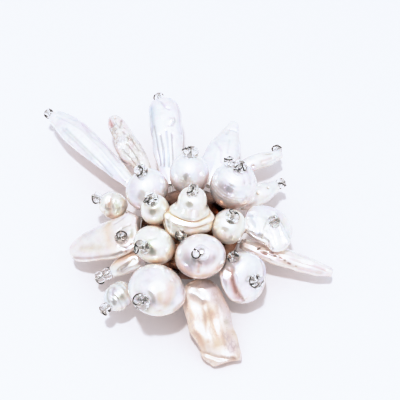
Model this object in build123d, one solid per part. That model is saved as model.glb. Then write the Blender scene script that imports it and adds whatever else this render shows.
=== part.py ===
from build123d import *
import math
import os

import numpy as np

# A pearl brooch: 23 drilled pearls on wire stems that are threaded through a
# small perforated dome, which is closed by a back plate with a pin on it.
# Millimetres. Z is up, the brooch lies on its pin, and Y points to its back.
# All is worked out around the sieve's axis, and moved at the end so that the
# origin is on the surface that it lies on, under the middle of the brooch.

# Sieve dome that every stem is threaded through
sieve_radius = 9.5
sieve_wall = 0.6
skirt_height = 2.7
dome_rise = 3.2
skirt_hole_height = 0.9
stem_tail = 0.7
tab_count = 4
tab_angle = 16.0
tab_thickness = 0.5
tab_reach = 1.2

# Back plate that closes the dome
plate_thickness = 0.7

# Pin that fastens the brooch, one plain piece
pin_wire_diameter = 0.8
pin_gap = 4.2
bar_overhang = 0.2
bar_width = 5.0
bar_thickness = 0.7
bar_shift = 1.0
post_length = 2.4
post_width = 4.4

# Stems and the bores that they run through
stem_diameter = 0.5
bore_clearance = 0.1
bead_length = 1.5
stem_tip = 0.4
bore_land = 0.3

# Width of a large pearl, which all the pearls' sizes are shares of
pearl_size = 10.0

# Clearances between neighbours
seat_gap = 0.1
pearl_gap = 0.15
seat_step = 0.1
seat_limit = 12.0

# How a kind of pearl swells and bends along its length, from its inner end to
# its outer end. girth, sway and arch have a value at each quarter of the
# length. girth is a share of the pearl's own width and depth, sway a share of
# its width and arch a share of its depth. fullness is 2 for a round end and
# more for a blunt one. fold is a lengthwise fold, as a share of the section,
# and fold_at its place around the section in degrees.
FORM_COLUMNS = ("fullness", "girth", "sway", "arch", "fold", "fold_at")
FORMS = {
    "round": (2.0, (1.0, 1.0, 1.0, 1.0, 1.0), (0, 0, 0, 0, 0), (0, 0, 0, 0, 0), 0.0, 0),
    "potato": (2.2, (1.0, 1.0, 1.0, 0.96, 0.9), (0, 0, 0, 0, 0), (0, 0.01, 0.02, 0.01, 0), 0.0, 0),
    "ringed": (2.3, (0.94, 1.06, 0.98, 0.72, 0.84), (0, 0, 0, 0, 0), (0, 0, 0, 0, 0), 0.0, 0),
    "heart": (2.4, (0.8, 0.98, 1.0, 0.98, 0.85), (0, 0, 0, 0, 0), (-0.1, -0.12, -0.13, -0.12, -0.1), 0.14, 215),
    "blade": (2.5, (0.4, 0.68, 0.95, 1.14, 1.0), (0, 0.02, 0.05, 0.1, 0.08), (0, 0.1, 0.15, 0.1, 0), 0.10, 250),
    "finger": (3.2, (0.5, 0.8, 0.98, 1.0, 0.95), (0, 0, 0, 0, 0), (0, 0.05, 0.08, 0.05, 0), 0.07, 70),
    "slab": (4.6, (0.42, 0.76, 0.94, 1.03, 0.95), (0, 0.03, 0.06, 0.08, 0.08), (0, 0.05, 0.08, 0.05, 0), 0.08, 110),
    "thorn": (2.4, (0.55, 0.95, 1.0, 0.74, 0.5), (0, 0, 0.02, 0.02, 0), (0, 0.05, 0.08, 0.05, 0), 0.07, 110),
    "paddle": (3.4, (0.82, 0.94, 1.0, 1.04, 1.0), (0, 0, 0, 0, 0), (0, 0.1, 0.14, 0.1, 0), 0.08, 75),
    "leaf": (2.8, (1.08, 1.06, 0.97, 0.82, 0.68), (0, 0, 0, 0, 0), (0, 0.08, 0.1, 0.06, 0), 0.07, 75),
    "twig": (2.4, (0.95, 1.04, 1.0, 0.9, 0.75), (0, 0.04, 0.05, 0.03, 0), (0, 0.06, 0.08, 0.05, 0), 0.05, 90),
    "plate": (3.0, (0.95, 1.0, 1.05, 1.05, 0.95), (0, 0, 0, 0, 0), (0, 0.08, 0.1, 0.08, 0), 0.10, 120),
}

# The pearls, inner ones first. bearing is where the stem leaves the sieve, in
# degrees around Z from X. root is how far out that is, as a share of the sieve
# radius, and a root of 1 is a hole in the skirt. heading and lean are the way
# the stem points, around Z and up from level. lift is the free stem below the
# pearl. length is the pearl's own length, width is level and depth is the third
# size, all as shares of the size of a large pearl. yaw and pitch turn its body
# from its stem, around and up, and shift moves it out past its bore by a share
# of its length. beads end the stem.
PEARL_COLUMNS = ("bearing", "root", "heading", "lean", "lift", "length", "width", "depth",
                 "yaw", "pitch", "shift", "beads", "form")
PEARL_LENGTHS = ("lift", "length", "width", "depth")
PEARLS = {
    "pearl_crown_ringed": (-94, 0.20, 72, 78, 0.05, 0.9, 0.72, 0.74, 0, 0, 0, 1, "ringed"),
    "pearl_round_front": (-77, 0.82, -86, 68, 0.04, 0.84, 0.94, 0.82, 0, 0, 0, 1, "potato"),
    "pearl_round_right": (-18, 0.74, -40, 80, 0.03, 0.64, 0.67, 0.63, 0, 0, 0, 1, "round"),
    "pearl_oval_front_left": (-136, 0.66, -133, 45, 0.08, 0.7, 0.81, 0.66, 0, 0, 0, 1, "potato"),
    "pearl_round_left": (-178, 0.59, 175, 80, 0.2, 0.55, 0.56, 0.55, 0, 0, 0, 1, "round"),
    "pearl_round_back": (93, 0.79, 83, 58, 0.03, 0.77, 0.78, 0.78, 0, 0, 0, 1, "round"),
    "pearl_oval_back_left": (143, 0.95, 128, 66, 0.05, 0.72, 0.82, 0.75, 0, 0, 0, 1, "potato"),
    "pearl_large_back_right": (39, 0.98, 36, 75, 0.05, 0.92, 0.9, 0.9, 0, 0, 0, 1, "round"),
    "pearl_large_front": (-104, 1.0, -122, 33, 0.32, 0.92, 1.04, 0.88, 0, 0, 0, 1, "potato"),
    "pearl_heart": (-43, 1.0, -52, 26, 0.15, 0.7, 0.92, 1.04, 0, 0, 0, 1, "heart"),
    "pearl_small_front_left": (-134, 1.0, -132, 2, 0.7, 0.56, 0.51, 0.51, 0, 0, 0, 1, "round"),
    "pearl_small_left": (162, 1.0, 161, 18, 0.39, 0.54, 0.52, 0.52, 0, 0, 0, 1, "round"),
    "petal_bottom": (-86, 1.0, -70, -20, 0.1, 1.64, 0.84, 0.28, 0, 0, 0, 0, "paddle"),
    "petal_left": (178, 1.0, -133, 36, 0.1, 1.46, 0.84, 0.3, -41, -57, 0.36, 1, "leaf"),
    "stick_right": (-14, 1.0, -15, -10, 0.05, 1.86, 0.38, 0.29, 0, 0, 0, 0, "twig"),
    "stick_upper_left": (137, 1.0, 134, -2, 0.26, 2.99, 0.54, 0.31, 0, 0, 0, 1, "blade"),
    "stick_pitted": (127, 1.0, 117, 0, 0.22, 2.11, 0.41, 0.34, 0, 0, 0, 0, "finger"),
    "stick_top": (112, 1.0, 97, 3, 0.22, 2.12, 0.69, 0.36, 0, 0, 0, 1, "slab"),
    "stick_upper_right": (78, 1.0, 64, 2, 0.2, 1.67, 0.7, 0.32, 7, 0, 0, 0, "thorn"),
    "twig_right_upper": (66, 1.0, 41, -4, 0.94, 0.95, 0.34, 0.28, -18, 0, 0, 1, "twig"),
    "twig_right_lower": (35, 1.0, 33, -5, 0.2, 0.98, 0.44, 0.32, 0, 0, 0, 1, "twig"),
    "twig_front_left": (-147, 1.0, -160, -14, 0.06, 0.72, 0.4, 0.34, 0, 0, 0, 2, "twig"),
    "plate_right": (-2, 1.0, -2, 38, 0.07, 0.96, 0.88, 0.28, -14, -50, 0.14, 1, "plate"),
}

# Where the sieve's axis is, from the middle of the whole brooch
sieve_x = 1.7
sieve_y = -4.2

# Heights that follow from the sizes above
bar_bottom = pin_wire_diameter + pin_gap
bar_top = bar_bottom + bar_thickness
plate_bottom = bar_top + seat_gap
plate_top = plate_bottom + plate_thickness
skirt_top = plate_bottom + skirt_height
skirt_hole_z = plate_top + skirt_hole_height
dome_sphere = (sieve_radius ** 2 + dome_rise ** 2) / (2 * dome_rise)
dome_centre = np.array([0.0, 0.0, skirt_top + dome_rise - dome_sphere])
bore_radius = stem_diameter / 2 + bore_clearance
plate_radius = sieve_radius - sieve_wall - seat_gap
bar_length = 2 * (plate_radius + bar_overhang)
land_radius = bore_radius + bore_land


def direction(heading, lean):
    """Unit vector that points heading degrees around Z and lean degrees up."""
    level = math.cos(math.radians(lean))
    return np.array([
        level * math.cos(math.radians(heading)),
        level * math.sin(math.radians(heading)),
        math.sin(math.radians(lean)),
    ])


def root_point(bearing, root):
    """Where a stem leaves the sieve: through the skirt if root is 1, else the dome."""
    out = root * sieve_radius
    if root >= 1:
        height = skirt_hole_z
    else:
        height = dome_centre[2] + math.sqrt(dome_sphere ** 2 - out ** 2)
    return np.array([
        out * math.cos(math.radians(bearing)),
        out * math.sin(math.radians(bearing)),
        height,
    ])


def curve(values):
    """Smooth curve through values that are spread evenly over s from -1 to 1."""
    stations = np.linspace(-1, 1, len(values))
    return np.poly1d(np.polyfit(stations, values, len(values) - 1))


class Pearl:
    """One pearl's size, shape and place, before it is made solid."""

    def __init__(self, name, row):
        self.name = name
        for column, value in zip(PEARL_COLUMNS, row):
            setattr(self, column, value * pearl_size if column in PEARL_LENGTHS else value)
        for column, value in zip(FORM_COLUMNS, FORMS[self.form]):
            setattr(self, column, curve(value) if isinstance(value, tuple) else value)
        self.start = root_point(self.bearing, self.root)
        self.stem = direction(self.heading, self.lean)
        self.along = direction(self.heading + self.yaw, self.lean + self.pitch)
        self.across = direction(self.heading + self.yaw - 90, 0)
        self.up = np.cross(self.across, self.along)
        self.reach = self.lift + self.length * (0.5 - self.shift)
        self.skin_offsets = self.surface()

    @property
    def centre(self):
        return self.start + self.stem * self.reach + self.along * self.shift * self.length

    def section(self, s):
        """Half width, half depth, sideways shift and rise at s, from -1 to 1."""
        end = (1 - np.abs(s) ** self.fullness) ** (1 / self.fullness)
        girth = self.girth(s)
        half_width = land_radius + (self.width / 2 * girth - land_radius) * end
        half_depth = land_radius + (self.depth / 2 * girth - land_radius) * end
        return half_width, half_depth, self.sway(s) * self.width, self.arch(s) * self.depth

    def dent(self, angle):
        """Share of the section that is left at an angle, less where the fold is."""
        off = (np.degrees(angle) - self.fold_at + 180) % 360 - 180
        return 1 - self.fold * np.exp(-(off / 32) ** 2)

    def outline(self, s, count):
        """Points around the section at s, in the pearl's own width and depth."""
        half_width, half_depth, shift, rise = self.section(s)
        angle = np.arange(count) * 2 * math.pi / count
        end = (1 - abs(s) ** self.fullness) ** (1 / self.fullness)
        left = 1 - (1 - self.dent(angle)) * end
        return shift + half_width * np.cos(angle) * left, rise + half_depth * np.sin(angle) * left

    def surface(self):
        """Points all over the pearl's surface, from its centre."""
        points = []
        for s in np.sin(np.linspace(-1, 1, 21) * math.pi / 2):
            x, y = self.outline(s, 24)
            points.append(np.outer(x, self.across) + np.outer(y, self.up) + self.along * s * self.length / 2)
        return np.concatenate(points)

    def skin(self):
        """The same points in the brooch's frame."""
        return self.centre + self.skin_offsets

    def holds(self, points, margin):
        """Which points lie inside the pearl, grown by a margin."""
        local = points - self.centre
        s = local @ self.along / (self.length / 2 + margin)
        inner = np.clip(s, -1, 1)
        half_width, half_depth, shift, rise = self.section(inner)
        x = (local @ self.across - shift) / (half_width + margin)
        y = (local @ self.up - rise) / (half_depth + margin)
        return (np.abs(s) < 1) & (x * x + y * y < 1)

    def stem_points(self):
        """Points along the free stem, between the sieve and the pearl."""
        steps = np.arange(0.3, max(0.4, self.reach - self.length * (0.5 - self.shift)), 0.15)
        return self.start + np.outer(steps, self.stem)

    def exit(self):
        """How far along the stem the pearl's outer side is."""
        steps = self.reach + np.arange(-self.length / 2, self.length, 0.02)
        inside = self.holds(self.start + np.outer(steps, self.stem), 0.0)
        return float(steps[inside][-1]) if inside.any() else self.reach

    @property
    def stem_length(self):
        """From the sieve to the stem's tip, past the beads that end it."""
        if self.beads:
            return self.exit() + self.beads * bead_length + stem_tip
        return self.exit() - stem_tip


def in_sieve(points, margin):
    """Which points lie inside the sieve or below its rim, grown by a margin."""
    out = np.hypot(points[:, 0], points[:, 1])
    drum = (out < sieve_radius + margin) & (points[:, 2] < skirt_top) & (points[:, 2] > 0)
    dome = (np.linalg.norm(points - dome_centre, axis=1) < dome_sphere + margin) & (points[:, 2] >= skirt_top)
    return drum | dome


def touches(pearl, other):
    """Whether two placed pearls, or one and the other's free stem, are too close."""
    if pearl.holds(other.skin(), pearl_gap).any() or other.holds(pearl.skin(), pearl_gap).any():
        return True
    margin = bore_radius + seat_gap
    return pearl.holds(other.stem_points(), margin).any()


def seat(pearls):
    """Slide each pearl out along its stem until it clears all that are placed."""
    placed = []
    for pearl in pearls:
        slid = 0.0
        while slid < seat_limit:
            blocked = in_sieve(pearl.skin(), pearl_gap).any() or any(touches(pearl, other) for other in placed)
            if not blocked:
                break
            pearl.reach += seat_step
            slid += seat_step
        placed.append(pearl)
    return placed


def rod(start, way, begin, end, radius):
    """Round rod on the line from start along way, between two distances."""
    base = Plane(origin=Vector(*(start + way * begin)), z_dir=Vector(*way))
    return extrude(base * Circle(radius), amount=end - begin)


def pearl_solid(pearl, others):
    """The drilled pearl, lofted through sections along its length."""
    sections = []
    for step in range(13):
        s = -math.cos(math.pi * step / 12)
        half_width, half_depth, shift, rise = pearl.section(s)
        middle = pearl.centre + pearl.along * s * pearl.length / 2
        if pearl.fold:
            plane = Plane(origin=Vector(*middle), x_dir=Vector(*pearl.across), z_dir=Vector(*pearl.along))
            x, y = pearl.outline(s, 16)
            edge = Spline(*[(float(a), float(-b)) for a, b in zip(x, y)], periodic=True)
            sections.append(plane * make_face(edge))
        else:
            middle = middle + pearl.across * shift + pearl.up * rise
            plane = Plane(origin=Vector(*middle), x_dir=Vector(*pearl.across), z_dir=Vector(*pearl.along))
            sections.append(plane * Ellipse(half_width, half_depth))
    body = loft(sections)
    body -= rod(pearl.start, pearl.stem, 0, pearl.reach + pearl.length, bore_radius)
    for other in others:
        path = other.stem_points()
        if other is not pearl and pearl.holds(path, bore_radius).any():
            body -= rod(other.start, other.stem, 0, other.stem_length, bore_radius)
    return body


def stem_solid(pearl):
    """The straight wire that carries one pearl."""
    return rod(pearl.start, pearl.stem, -stem_tail, pearl.stem_length, stem_diameter / 2)


def sieve_solid(pearls):
    """Thin domed disc with a skirt, fold-over tabs and a hole for each stem."""
    inner_radius = sieve_radius - sieve_wall
    inner_sphere = dome_sphere - sieve_wall
    inner_top = dome_centre[2] + math.sqrt(inner_sphere ** 2 - inner_radius ** 2)
    half_angle = math.asin(sieve_radius / dome_sphere) / 2
    middle = Vector(math.sin(half_angle), 0, math.cos(half_angle))
    low = Vector(*dome_centre)
    wall = [
        Line((inner_radius, 0, plate_bottom), (sieve_radius, 0, plate_bottom)),
        Line((sieve_radius, 0, plate_bottom), (sieve_radius, 0, skirt_top)),
        ThreePointArc((sieve_radius, 0, skirt_top), low + middle * dome_sphere, low + Vector(0, 0, dome_sphere)),
        Line(low + Vector(0, 0, dome_sphere), low + Vector(0, 0, inner_sphere)),
        ThreePointArc(low + Vector(0, 0, inner_sphere), low + middle * inner_sphere, (inner_radius, 0, inner_top)),
        Line((inner_radius, 0, inner_top), (inner_radius, 0, plate_bottom)),
    ]
    sieve = revolve(make_face(wall), Axis.Z)
    tab_top = plate_bottom - seat_gap
    tab_low = tab_top - tab_thickness
    tab_in = inner_radius - tab_reach
    hook = Polyline(
        (tab_in, 0, tab_low),
        (sieve_radius, 0, tab_low),
        (sieve_radius, 0, plate_bottom),
        (inner_radius, 0, plate_bottom),
        (inner_radius, 0, tab_top),
        (tab_in, 0, tab_top),
        close=True,
    )
    tab = revolve(make_face(hook), Axis.Z, tab_angle)
    for step in range(tab_count):
        sieve += Rot(0, 0, (step + 0.5) * 360 / tab_count - tab_angle / 2) * tab
    for pearl in pearls:
        sieve -= rod(pearl.start, pearl.stem, -2 * stem_tail, 2 * stem_tail, bore_radius)
    return sieve


def plate_solid():
    """Flat disc that closes the dome from below."""
    return Pos(0, 0, plate_bottom) * extrude(Circle(plate_radius), amount=plate_thickness)


def pin_solid():
    """Bar with a post at each end and the pin wire between them."""
    corner = (Align.CENTER, Align.CENTER, Align.MIN)
    solid = Pos(0, bar_shift, bar_bottom) * Box(bar_length, bar_width, bar_thickness, align=corner)
    for side in (-1, 1):
        place = side * (bar_length - post_length) / 2
        solid += Pos(place, bar_shift, 0) * Box(post_length, post_width, bar_bottom, align=corner)
    wire = Rot(0, 90, 0) * Cylinder(pin_wire_diameter / 2, bar_length - post_length)
    solid += Pos(0, bar_shift, pin_wire_diameter / 2) * wire
    return solid


def build():
    pearls = seat([Pearl(name, row) for name, row in PEARLS.items()])
    nodes = {
        "sieve_dome": sieve_solid(pearls),
        "back_plate": plate_solid(),
        "pin_back": pin_solid(),
    }
    for pearl in pearls:
        nodes[pearl.name] = pearl_solid(pearl, pearls)
        nodes["stem_" + pearl.name] = stem_solid(pearl)
    return pearls, nodes


pearls, nodes = build()
os.makedirs("parts", exist_ok=True)
for name, solid in nodes.items():
    export_step(Pos(sieve_x, sieve_y, 0) * solid, f"parts/{name}.step")
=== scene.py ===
import math

import bpy
import numpy as np
from mathutils import Matrix, Vector, noise
from mathutils.bvhtree import BVHTree


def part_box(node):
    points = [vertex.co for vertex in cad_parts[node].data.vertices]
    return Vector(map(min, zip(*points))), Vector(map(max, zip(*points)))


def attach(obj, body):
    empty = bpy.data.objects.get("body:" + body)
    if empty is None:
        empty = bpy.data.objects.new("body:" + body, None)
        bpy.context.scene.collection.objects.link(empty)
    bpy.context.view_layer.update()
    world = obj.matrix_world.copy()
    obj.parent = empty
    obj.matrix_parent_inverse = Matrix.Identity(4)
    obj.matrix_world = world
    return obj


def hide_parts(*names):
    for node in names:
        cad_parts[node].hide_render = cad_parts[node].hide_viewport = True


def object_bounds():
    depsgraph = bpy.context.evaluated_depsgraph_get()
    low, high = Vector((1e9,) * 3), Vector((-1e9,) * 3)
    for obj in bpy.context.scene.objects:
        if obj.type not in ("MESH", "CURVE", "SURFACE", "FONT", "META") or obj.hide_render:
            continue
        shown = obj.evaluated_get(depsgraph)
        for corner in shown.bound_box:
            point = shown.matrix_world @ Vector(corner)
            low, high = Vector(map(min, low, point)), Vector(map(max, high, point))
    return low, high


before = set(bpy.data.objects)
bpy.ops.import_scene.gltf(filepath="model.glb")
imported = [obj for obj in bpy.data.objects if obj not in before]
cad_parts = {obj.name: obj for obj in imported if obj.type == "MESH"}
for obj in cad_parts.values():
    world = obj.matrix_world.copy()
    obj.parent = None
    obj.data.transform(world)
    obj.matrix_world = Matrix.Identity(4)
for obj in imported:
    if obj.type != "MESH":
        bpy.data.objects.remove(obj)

# A pearl brooch lying on its pin. Lengths in the tables are in millimetres.
# Each pearl's solid is replaced by a finer one of the same size and place, with
# its rings, wrinkles, folds and pits. Glass beads end the wire stems.

cad_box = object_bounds()
MM = 0.001

# Camera: seen from the front, 58 degrees up, 170 mm from the sieve's middle
elevation = math.radians(58)
camera_distance = 170.0
focal_px = 884.0
target_px = (190.0, 228.0)
image_px = 400.0
sensor_width = 36.0
nearest_seen = 0.005
target_height = 9.0

# Sizes that the pearls share: the flat round their holes, the holes, how near the
# holes their relief fades, how far the painted shade from a neighbour or the sieve
# reaches, how far below the sieve's top that painted shade begins, and a distance beyond every pearl
land_radius = 0.65
hole_radius = 0.34
hole_depth = 0.9
end_fade = 0.4
shade_reach = 1.1
shade_limit = 6
shade_drop = 1.0
far_out = 60

# Rings of (radius, depth) that lead down a pearl's hole, or round off the end of
# one whose stem comes out through its face
DRILLED_END = (
    (hole_radius * 1.25, 0.0),
    (hole_radius, 0.08),
    (hole_radius * 0.9, hole_depth),
    (0, hole_depth * 1.2),
)
CLOSED_END = ((0.45, -0.06), (0.25, -0.09), (0, -0.1))

# Glass beads and the turn of wire round each
bead_hole = 0.34
bead_length = 1.5
bead_gap = 0.05
loop_wire_radius = 0.12
loop_room = 0.03
loop_lift = 0.02
loop_twist = 0.9
loop_fullness = 0.7
bead_fullness = (0.8, 0.85)

# How fine the meshes are
mesh_edge = 0.15
row_share = 1.25
fewest_around = 48
fewest_rows = 40
bead_sides = 48
bead_outline = 28
loop_steps = 30
loop_sides = 10

# How far the noise under the lumps and wrinkles is raised, the wrinkles' spread,
# and how strong their second layer is and how much finer around and along
lump_gain = 1.6
wrinkle_gain = 1.5
wrinkle_spread = 3.2
second_share = 0.5
finer_around = 2.1
finer_along = 1.6

# How the rings waver, how wide a fold is in degrees, and what parts the seeds
ring_lump = 2.5
ring_drift = 2.5
fold_width = 32
seed_step = 7.3

# How a kind of pearl swells and bends from its inner to its outer end: fullness
# of the ends, girth, sway and arch at each quarter, and a fold and its place
STRAIGHT = (0, 0, 0, 0, 0)
LOW_BOW = (0, 0.05, 0.08, 0.05, 0)
FORMS = {
    "round": (2.0, (1, 1, 1, 1, 1), STRAIGHT, STRAIGHT, 0, 0),
    "potato": (2.2, (1.0, 1.0, 1.0, 0.96, 0.9), STRAIGHT, (0, 0.01, 0.02, 0.01, 0), 0.0, 0),
    "ringed": (2.6, (0.98, 1.06, 0.86, 0.82, 0.82), STRAIGHT, STRAIGHT, 0.0, 0),
    "heart": (2.4, (0.8, 0.98, 1.0, 0.98, 0.85), STRAIGHT, (-0.1, -0.12, -0.13, -0.12, -0.1), 0.14, 215),
    "blade": (2.5, (0.4, 0.68, 0.95, 1.14, 1), (0, 0.02, 0.05, 0.1, 0.08), (0, 0.1, 0.15, 0.1, 0), 0.1, 250),
    "finger": (3.2, (0.5, 0.8, 0.98, 1.0, 0.95), STRAIGHT, LOW_BOW, 0.07, 70),
    "slab": (4.6, (0.42, 0.76, 0.94, 1.03, 0.95), (0, 0.03, 0.06, 0.08, 0.08), LOW_BOW, 0.08, 110),
    "thorn": (2.4, (0.55, 0.95, 1.0, 0.74, 0.5), (0, 0, 0.02, 0.02, 0), LOW_BOW, 0.07, 110),
    "paddle": (3.4, (0.82, 0.94, 1.0, 1.04, 1.0), STRAIGHT, (0, 0.1, 0.14, 0.1, 0), 0.08, 75),
    "leaf": (2.8, (1.08, 1.06, 0.97, 0.82, 0.68), STRAIGHT, (0, 0.08, 0.1, 0.06, 0), 0.07, 75),
    "twig": (2.4, (0.95, 1.04, 1.0, 0.9, 0.75), (0, 0.04, 0.05, 0.03, 0), (0, 0.06, 0.08, 0.05, 0), 0.05, 90),
    "plate": (3.0, (0.95, 1.0, 1.05, 1.05, 0.95), STRAIGHT, (0, 0.08, 0.1, 0.08, 0), 0.1, 120),
}
FORM_COLUMNS = ("fullness", "girth", "sway", "arch", "fold", "fold_at")

# The pearls: the way the stem points, the pearl's size, how its body is turned
# from its stem, its beads and their radius, its form and its finish, then the
# height and size of its lumps, and the height of the wrinkles that run along it,
# how many go around and how long they run
PEARL_COLUMNS = (
    "heading", "lean", "length", "width", "depth", "yaw", "pitch", "beads", "bead_radius", "form", "finish",
    "lump", "lump_size", "wrinkle", "wrinkle_count", "wrinkle_run",
)
PEARLS = {
    "pearl_crown_ringed": (72, 78, 9.0, 7.2, 7.4, 0, 0, 1, 1.05, "ringed", "cream", 0.1, 3.0, 0.02, 6, 3),
    "pearl_round_front": (-86, 68, 8.4, 9.4, 8.2, 0, 0, 1, 1.55, "potato", "rose", 0.06, 4.0, 0.02, 5, 5),
    "pearl_round_right": (-40, 80, 6.4, 6.7, 6.3, 0, 0, 1, 1.3, "round", "cream", 0.07, 2.5, 0, 0, 0),
    "pearl_oval_front_left": (-133, 45, 7.0, 8.1, 6.6, 0, 0, 1, 1.45, "potato", "cream", 0.05, 3.5, 0, 0, 0),
    "pearl_round_left": (175, 80, 5.5, 5.6, 5.5, 0, 0, 1, 1.3, "round", "cream", 0.05, 3.0, 0, 0, 0),
    "pearl_round_back": (83, 58, 7.7, 7.8, 7.8, 0, 0, 1, 1.5, "round", "lavender", 0.03, 4.0, 0, 0, 0),
    "pearl_oval_back_left": (128, 66, 7.2, 8.2, 7.5, 0, 0, 1, 1.3, "potato", "lavender", 0.06, 3.0, 0, 0, 0),
    "pearl_large_back_right": (36, 75, 9.2, 9.0, 9.0, 0, 0, 1, 1.3, "round", "lavender", 0.05, 4.0, 0, 0, 0),
    "pearl_large_front": (-122, 33, 9.2, 10.4, 8.8, 0, 0, 1, 1.5, "potato", "white", 0.14, 3.6, 0.02, 6, 5),
    "pearl_heart": (-52, 26, 7.0, 9.2, 10.4, 0, 0, 1, 1.4, "heart", "lavender", 0.12, 3.5, 0.02, 6, 4),
    "pearl_small_front_left": (-132, 2, 5.6, 5.1, 5.1, 0, 0, 1, 1.05, "round", "white", 0.05, 2.5, 0, 0, 0),
    "pearl_small_left": (161, 18, 5.4, 5.2, 5.2, 0, 0, 1, 1.05, "round", "cream", 0.1, 2.0, 0, 0, 0),
    "petal_bottom": (-70, -20, 16.4, 8.4, 2.8, 0, 0, 0, 0, "paddle", "beige", 0.2, 3.5, 0.02, 8, 8),
    "petal_left": (-133, 36, 14.6, 8.4, 3.0, -41, -57, 1, 1.2, "leaf", "blush", 0.1, 3.5, 0.03, 8, 8),
    "stick_right": (-15, -10, 18.6, 3.8, 2.9, 0, 0, 0, 0, "twig", "blush", 0.12, 2.5, 0.07, 7, 6),
    "stick_upper_left": (134, -2, 29.9, 5.4, 3.1, 0, 0, 1, 1.05, "blade", "lavender", 0.12, 4.0, 0.05, 6, 12),
    "stick_pitted": (117, 0, 21.1, 4.1, 3.4, 0, 0, 0, 0, "finger", "crackled", 0.16, 2.2, 0.1, 8, 4),
    "stick_top": (97, 3, 21.2, 6.9, 3.6, 0, 0, 1, 1.05, "slab", "lavender", 0.16, 3.5, 0.07, 9, 9),
    "stick_upper_right": (64, 2, 16.7, 7.0, 3.2, 7, 0, 0, 0, "thorn", "lavender", 0.15, 3.5, 0.05, 6, 8),
    "twig_right_upper": (41, -4, 9.5, 3.4, 2.8, -18, 0, 1, 1.05, "twig", "white", 0.12, 2.2, 0.03, 5, 6),
    "twig_right_lower": (33, -5, 9.8, 4.4, 3.2, 0, 0, 1, 1.05, "twig", "white", 0.12, 2.2, 0.03, 5, 5),
    "twig_front_left": (-160, -14, 7.2, 4.0, 3.4, 0, 0, 2, 1.15, "twig", "white", 0.08, 2.2, 0.02, 5, 5),
    "plate_right": (-2, 38, 9.6, 8.8, 2.8, -14, -50, 1, 1.2, "plate", "white", 0.12, 3.0, 0.06, 7, 6),
}

# Rings around a pearl's axis: their height and number
RINGS = {
    "pearl_large_back_right": (0.012, 14),
    "pearl_small_front_left": (0.02, 8),
    "pearl_small_left": (0.02, 6),
}

# Collars: how far along the pearl, half width, height, stain and its strength
COLLARS = {
    "pearl_crown_ringed": (
        (-0.03, 0.24, -0.3, "amber", 0.8),
        (0.09, 0.24, 0.14, "peach", 0.3),
        (-0.19, 0.32, 0.24, "peach", 0.2),
    ),
    "pearl_small_left": (
        (0.35, 0.35, -0.12, "grey", 0.4),
    ),
    "pearl_small_front_left": (
        (0.5, 0.2, -0.04, "grey", 0.6),
        (0.12, 0.24, -0.05, "grey", 0.6),
        (-0.35, 0.3, -0.04, "grey", 0.5),
    ),
}

# Tints that the marks below carry: stains in the nacre, and painted shade, painted reflection and painted
# warm bounce
STAINS_AND_PAINTED_LIGHT = {
    "pit": (0.3, 0.17, 0.12),
    "black": (0.07, 0.035, 0.025),
    "brown": (0.52, 0.37, 0.3),
    "amber": (0.66, 0.42, 0.22),
    "peach": (0.9, 0.7, 0.6),
    "beige": (0.74, 0.64, 0.55),
    "rose": (0.72, 0.5, 0.47),
    "grey": (0.5, 0.5, 0.52),
    "shade": (0.4, 0.43, 0.38),
    "green": (0.5, 0.56, 0.48),
    "blue": (0.62, 0.7, 0.76),
    "lilac": (0.74, 0.68, 0.8),
    "white": (0.97, 0.97, 0.97),
}
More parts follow.
